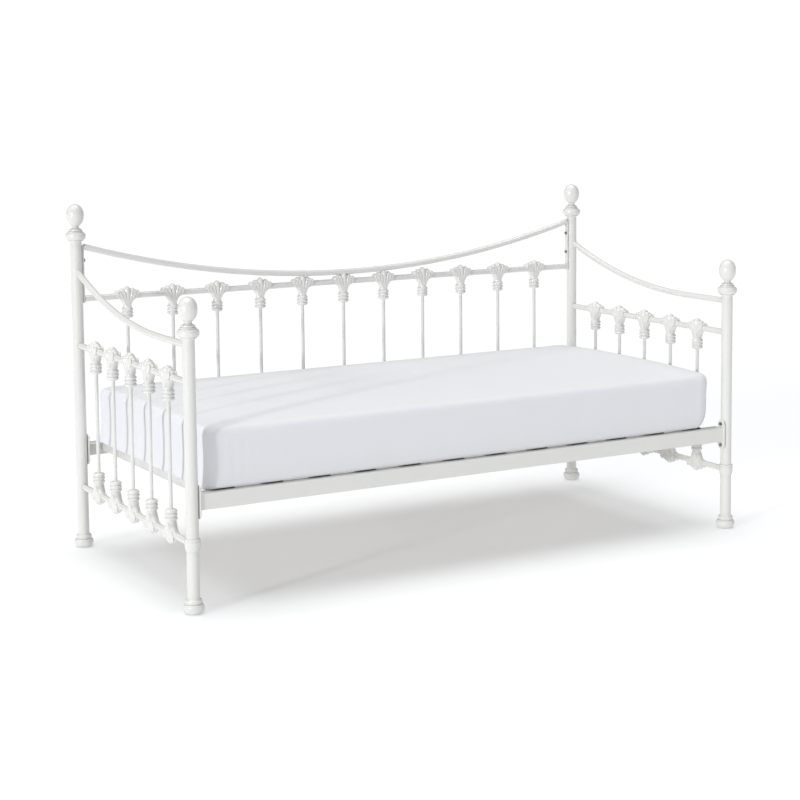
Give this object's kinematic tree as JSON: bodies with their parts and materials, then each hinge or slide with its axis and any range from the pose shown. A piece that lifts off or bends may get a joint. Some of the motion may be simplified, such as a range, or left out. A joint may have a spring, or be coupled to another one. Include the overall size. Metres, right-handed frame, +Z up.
{
  "type": "daybed",
  "caption": "Victorian style tubular metal daybed with egg finials, swooping top rails, spindle panels with shell castings, slatted base and a single mattress in a fitted sheet.",
  "frame": {"origin": "on the floor, under the centre of the bed", "axes": "+X along the length, towards the right end seen from the front, +Y from the open front to the back panel, +Z up"},
  "size_m": [2.067, 1.011, 1.16],
  "materials": {
    "frame_enamel": "glossy ivory enamel on steel",
    "cast_enamel": "glossy ivory enamel on cast alloy",
    "foot_moulding": "glossy ivory moulding",
    "bolt_steel": "blackened steel",
    "slat_wood": "clear lacquered bent plywood",
    "slat_cap": "matt black moulding",
    "mattress_cover": "woven ticking over foam",
    "sheet_cotton": "smooth white cotton"
  },
  "bodies": {
    "frame": {"back_castings": "cast_enamel", "back_side_rail": "frame_enamel", "back_spindles": "frame_enamel", "back_swoop_rail": "frame_enamel", "back_upper_rail": "frame_enamel", "back_upright_left": "frame_enamel", "back_upright_right": "frame_enamel", "centre_support_rail": "frame_enamel", "finial_back_left": "cast_enamel", "finial_back_right": "cast_enamel", "finial_front_left": "cast_enamel", "finial_front_right": "cast_enamel", "foot_back_left": "foot_moulding", "foot_back_right": "foot_moulding", "foot_front_left": "foot_moulding", "foot_front_right": "foot_moulding", "front_side_rail": "frame_enamel", "left_castings": "cast_enamel", "left_cross_bar": "frame_enamel", "left_lower_rail": "frame_enamel", "left_spindles": "frame_enamel", "left_swoop_rail": "frame_enamel", "left_upper_rail": "frame_enamel", "leg_collar_front_left": "cast_enamel", "leg_collar_front_right": "cast_enamel", "panel_bolts": "bolt_steel", "post_back_left": "frame_enamel", "post_back_right": "frame_enamel", "post_front_left": "frame_enamel", "post_front_right": "frame_enamel", "rail_bolts": "bolt_steel", "rail_plate_back_left": "frame_enamel", "rail_plate_back_right": "frame_enamel", "rail_plate_front_left": "frame_enamel", "rail_plate_front_right": "frame_enamel", "right_castings": "cast_enamel", "right_cross_bar": "frame_enamel", "right_lower_rail": "frame_enamel", "right_spindles": "frame_enamel", "right_swoop_rail": "frame_enamel", "right_upper_rail": "frame_enamel", "slat_01": "slat_wood", "slat_02": "slat_wood", "slat_03": "slat_wood", "slat_04": "slat_wood", "slat_05": "slat_wood", "slat_06": "slat_wood", "slat_07": "slat_wood", "slat_08": "slat_wood", "slat_09": "slat_wood", "slat_10": "slat_wood", "slat_11": "slat_wood", "slat_12": "slat_wood", "slat_caps": "slat_cap", "top_collar_back_left": "cast_enamel", "top_collar_back_right": "cast_enamel", "top_collar_front_left": "cast_enamel", "top_collar_front_right": "cast_enamel"},
    "mattress": {"fitted_sheet": "sheet_cotton", "mattress": "mattress_cover"}
  },
  "joints": [
    {"name": "mattress_lift", "type": "slide", "parent": "frame", "child": "mattress", "axis": [0, 0, 1], "range_m": [0, 0.85]}
  ]
}
